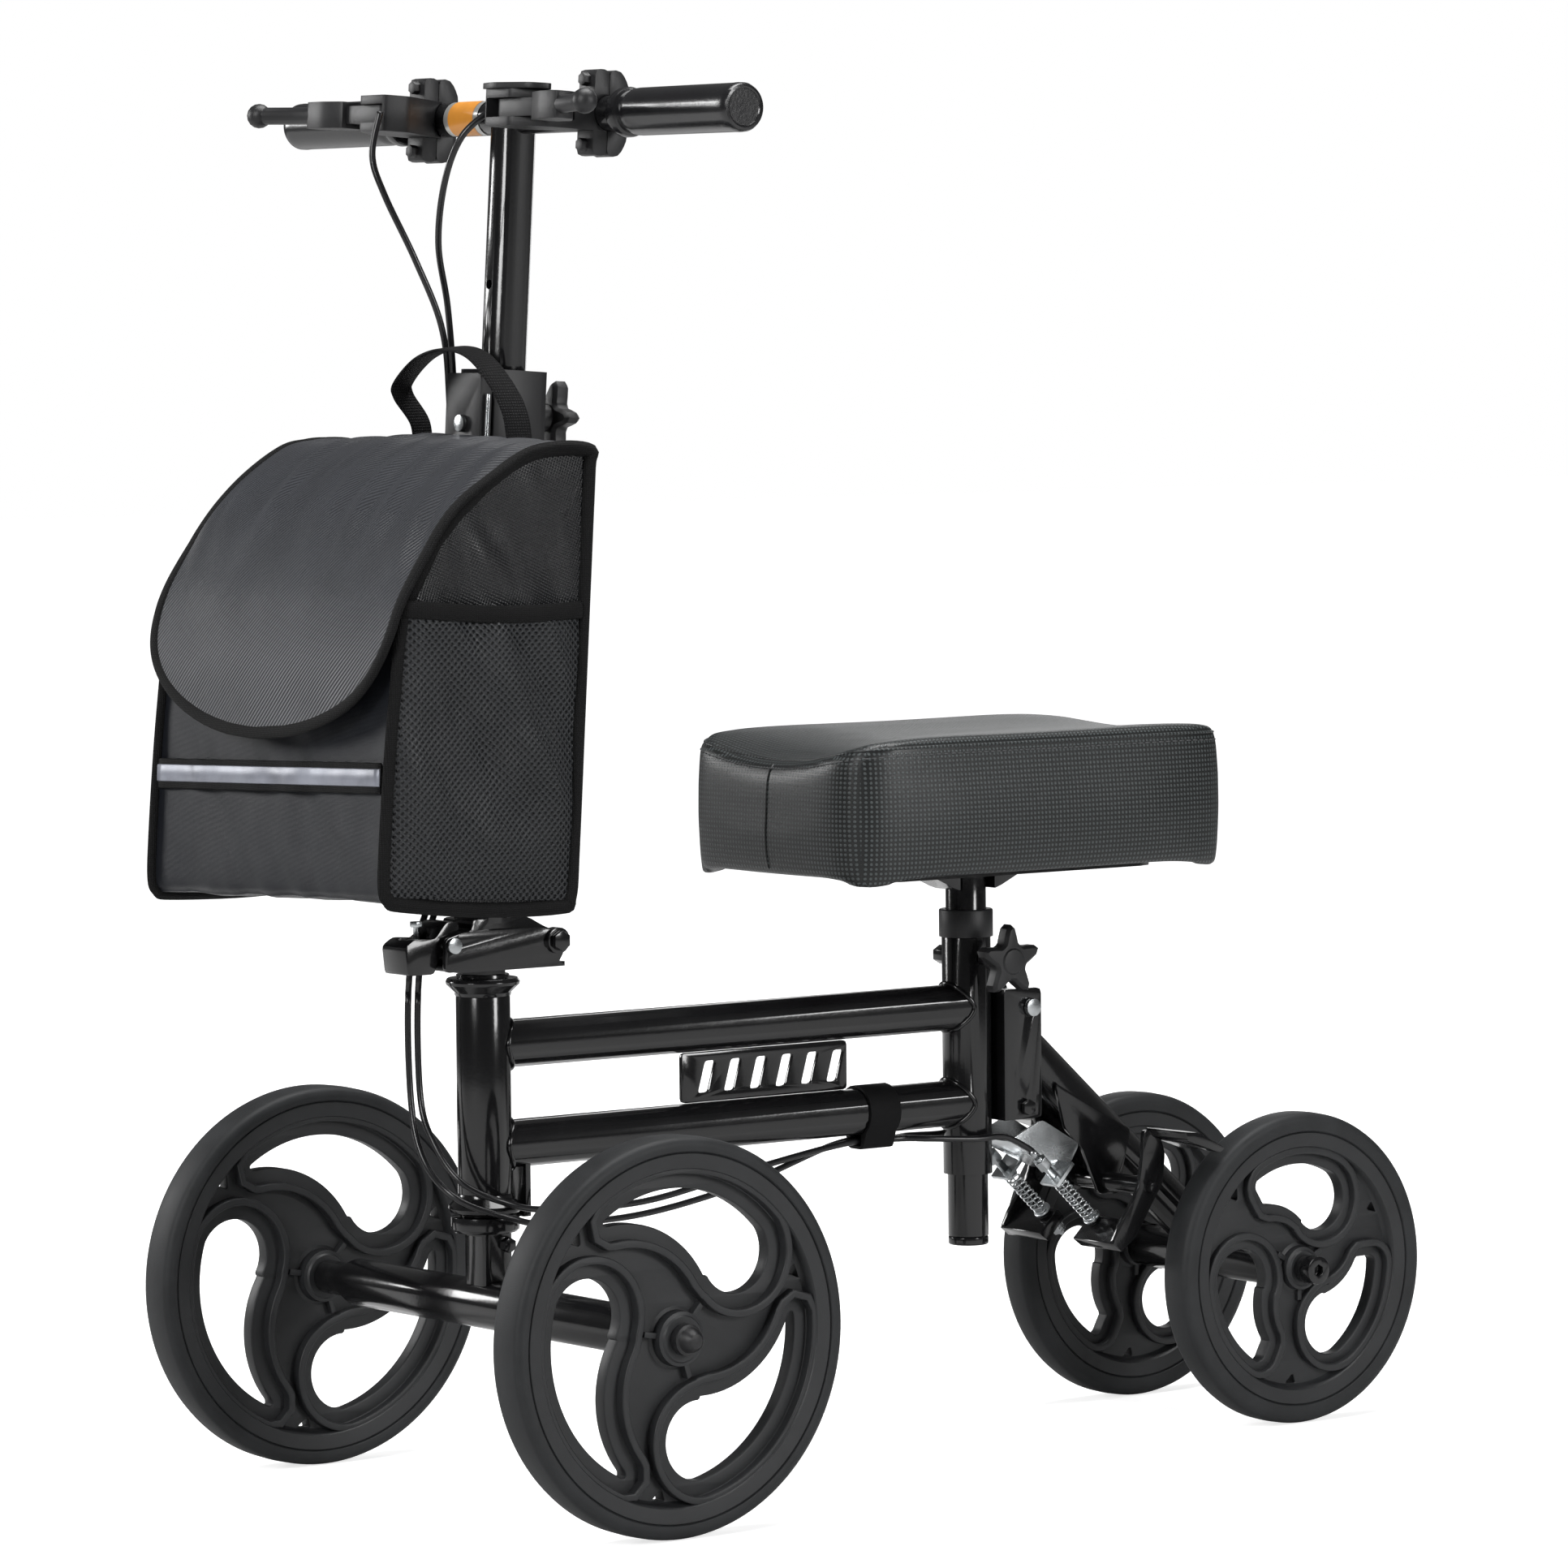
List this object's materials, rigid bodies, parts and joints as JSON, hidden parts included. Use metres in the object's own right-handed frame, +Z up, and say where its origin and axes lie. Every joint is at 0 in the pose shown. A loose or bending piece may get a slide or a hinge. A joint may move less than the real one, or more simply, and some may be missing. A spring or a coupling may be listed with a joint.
{
  "type": "knee scooter",
  "caption": "Steerable knee scooter with folding column, padded knee rest, spoked wheels, twin rear brakes and a front bag.",
  "frame": {"origin": "middle of the footprint, on the floor under the tyres", "axes": "+Z up, travel towards -Y, the rider's left is +X"},
  "size_m": [0.492, 0.8751, 0.9083],
  "materials": {
    "black_steel": "gloss black powder coat",
    "zinc": "bright zinc plate",
    "black_plastic": "fine matte",
    "wheel": "moulded, matte dark grey",
    "grip": "smooth, semi-gloss",
    "pad_vinyl": "dot-embossed vinyl over foam",
    "bag_fabric": "woven",
    "webbing": "ribbed webbing",
    "cable": "smooth housing"
  },
  "bodies": {
    "frame": {"frame": "black_steel", "upper_cup": "black_steel", "lower_cup": "black_steel", "name_plate": "black_steel", "cable_strap": "webbing", "rear_bracket": "black_steel", "bracket_pin": "zinc", "bracket_bolt": "black_steel", "rear_fork": "black_steel", "rear_axle_bolt_left": "black_steel", "rear_axle_bolt_right": "black_steel", "brake_bracket": "zinc", "cable_adjuster_left": "zinc", "cable_adjuster_right": "zinc", "seat_collar": "black_plastic", "seat_clamp_bolt": "black_steel", "brake_spring_left": "zinc", "brake_spring_right": "zinc", "brake_cable_left": "cable", "brake_cable_right": "cable"},
    "steering": {"fork": "black_steel", "front_axle": "black_steel", "axle_cap_left": "black_plastic", "axle_cap_right": "black_plastic", "neck_nut": "black_steel", "fold_base": "black_steel", "fold_pivot_bolt": "black_steel", "latch_pin": "zinc"},
    "latch": {"latch_lever": "black_steel", "latch_screw": "zinc"},
    "column": {"column_tube": "black_steel", "column_sleeve": "black_plastic", "bag_hanger": "black_steel", "hanger_rivet": "zinc"},
    "column_knob": {"column_knob": "black_plastic"},
    "stem": {"stem": "black_steel", "grip_left": "grip", "grip_right": "grip", "lever_housing_left": "black_plastic", "lever_housing_right": "black_plastic", "clamp_shell_left": "black_plastic", "clamp_shell_right": "black_plastic"},
    "brake_lever_left": {"brake_lever_left": "black_plastic"},
    "brake_lever_right": {"brake_lever_right": "black_plastic"},
    "parking_tab": {"parking_tab": "black_plastic"},
    "seat": {"seat_post": "black_steel", "pad_plate": "black_steel", "knee_pad": "pad_vinyl"},
    "seat_knob": {"seat_knob": "black_plastic"},
    "brake_arm_left": {"brake_arm_left": "black_steel"},
    "brake_arm_right": {"brake_arm_right": "black_steel"},
    "front_wheel_left": {"front_wheel_left": "wheel"},
    "front_wheel_right": {"front_wheel_right": "wheel"},
    "rear_wheel_left": {"rear_wheel_left": "wheel"},
    "rear_wheel_right": {"rear_wheel_right": "wheel"},
    "bag": {"bag_body": "bag_fabric", "bag_wire_left": "zinc", "bag_wire_right": "zinc", "bag_handle": "webbing"},
    "bag_flap": {"bag_flap": "bag_fabric"}
  },
  "joints": [
    {"name": "steer", "type": "hinge", "parent": "frame", "child": "steering", "pos_m": [0, -0.2722, 0.25], "axis": [0, 0, 1], "range_deg": [-45, 45], "deforming": ["brake_cable_left", "brake_cable_right"]},
    {"name": "column_fold", "type": "hinge", "parent": "steering", "child": "column", "pos_m": [0, -0.2292, 0.357], "axis": [-1, 0, 0], "range_deg": [0, 60], "deforming": ["brake_cable_left", "brake_cable_right"]},
    {"name": "latch_press", "type": "hinge", "parent": "steering", "child": "latch", "pos_m": [0, -0.3082, 0.358], "axis": [1, 0, 0], "range_deg": [0, 16], "stiffness_Nm_per_rad": 0.4, "springref_deg": -5.73},
    {"name": "stem_height", "type": "slide", "parent": "column", "child": "stem", "axis": [0, -0.0644, -0.9979], "range_m": [-0.07, 0.1], "deforming": ["brake_cable_left", "brake_cable_right"]},
    {"name": "column_knob_turn", "type": "hinge", "parent": "column", "child": "column_knob", "pos_m": [0, -0.2076, 0.6894], "axis": [0, 0.9979, -0.0644], "continuous": true},
    {"name": "lever_left_pull", "type": "hinge", "parent": "stem", "child": "brake_lever_left", "pos_m": [0.072, -0.2903, 0.8841], "axis": [0, 0.0644, 0.9979], "range_deg": [0, 14], "stiffness_Nm_per_rad": 0.8, "springref_deg": -5.73},
    {"name": "lever_right_pull", "type": "hinge", "parent": "stem", "child": "brake_lever_right", "pos_m": [-0.072, -0.2903, 0.8841], "axis": [0, -0.0644, -0.9979], "range_deg": [0, 14], "stiffness_Nm_per_rad": 0.8, "springref_deg": -5.73},
    {"name": "parking_tab_turn", "type": "hinge", "parent": "stem", "child": "parking_tab", "pos_m": [0.06, -0.2902, 0.8975], "axis": [0, 0.0644, 0.9979], "range_deg": [0, 20]},
    {"name": "seat_height", "type": "slide", "parent": "frame", "child": "seat", "axis": [0, 0, -1], "range_m": [-0.075, 0.012]},
    {"name": "seat_knob_turn", "type": "hinge", "parent": "frame", "child": "seat_knob", "pos_m": [0.0405, 0.1203, 0.324], "axis": [1, 0, 0], "continuous": true},
    {"name": "brake_left", "type": "hinge", "parent": "frame", "child": "brake_arm_left", "pos_m": [0.0588, 0.2288, 0.166], "axis": [-1, 0, 0], "range_deg": [0, 6.3], "deforming": ["brake_spring_left"]},
    {"name": "brake_right", "type": "hinge", "parent": "frame", "child": "brake_arm_right", "pos_m": [-0.0588, 0.2288, 0.166], "axis": [-1, 0, 0], "range_deg": [0, 6.3], "deforming": ["brake_spring_right"]},
    {"name": "front_left_spin", "type": "hinge", "parent": "steering", "child": "front_wheel_left", "pos_m": [0.1985, -0.2722, 0.125], "axis": [1, 0, 0], "continuous": true},
    {"name": "front_right_spin", "type": "hinge", "parent": "steering", "child": "front_wheel_right", "pos_m": [-0.1985, -0.2722, 0.125], "axis": [1, 0, 0], "continuous": true},
    {"name": "rear_left_spin", "type": "hinge", "parent": "frame", "child": "rear_wheel_left", "pos_m": [0.0865, 0.3318, 0.1057], "axis": [1, 0, 0], "continuous": true},
    {"name": "rear_right_spin", "type": "hinge", "parent": "frame", "child": "rear_wheel_right", "pos_m": [-0.0865, 0.3318, 0.1057], "axis": [1, 0, 0], "continuous": true},
    {"name": "bag_unhook", "type": "slide", "parent": "column", "child": "bag", "axis": [0, -0.9979, 0.0644], "range_m": [0, 0.04]},
    {"name": "flap_open", "type": "hinge", "parent": "bag", "child": "bag_flap", "pos_m": [0, -0.2997, 0.6748], "axis": [-1, 0, 0], "range_deg": [0, 75]}
  ],
  "couplings": [
    {"joint": "brake_left", "follows": "lever_left_pull", "ratio": 0.45},
    {"joint": "brake_right", "follows": "lever_right_pull", "ratio": 0.45}
  ]
}
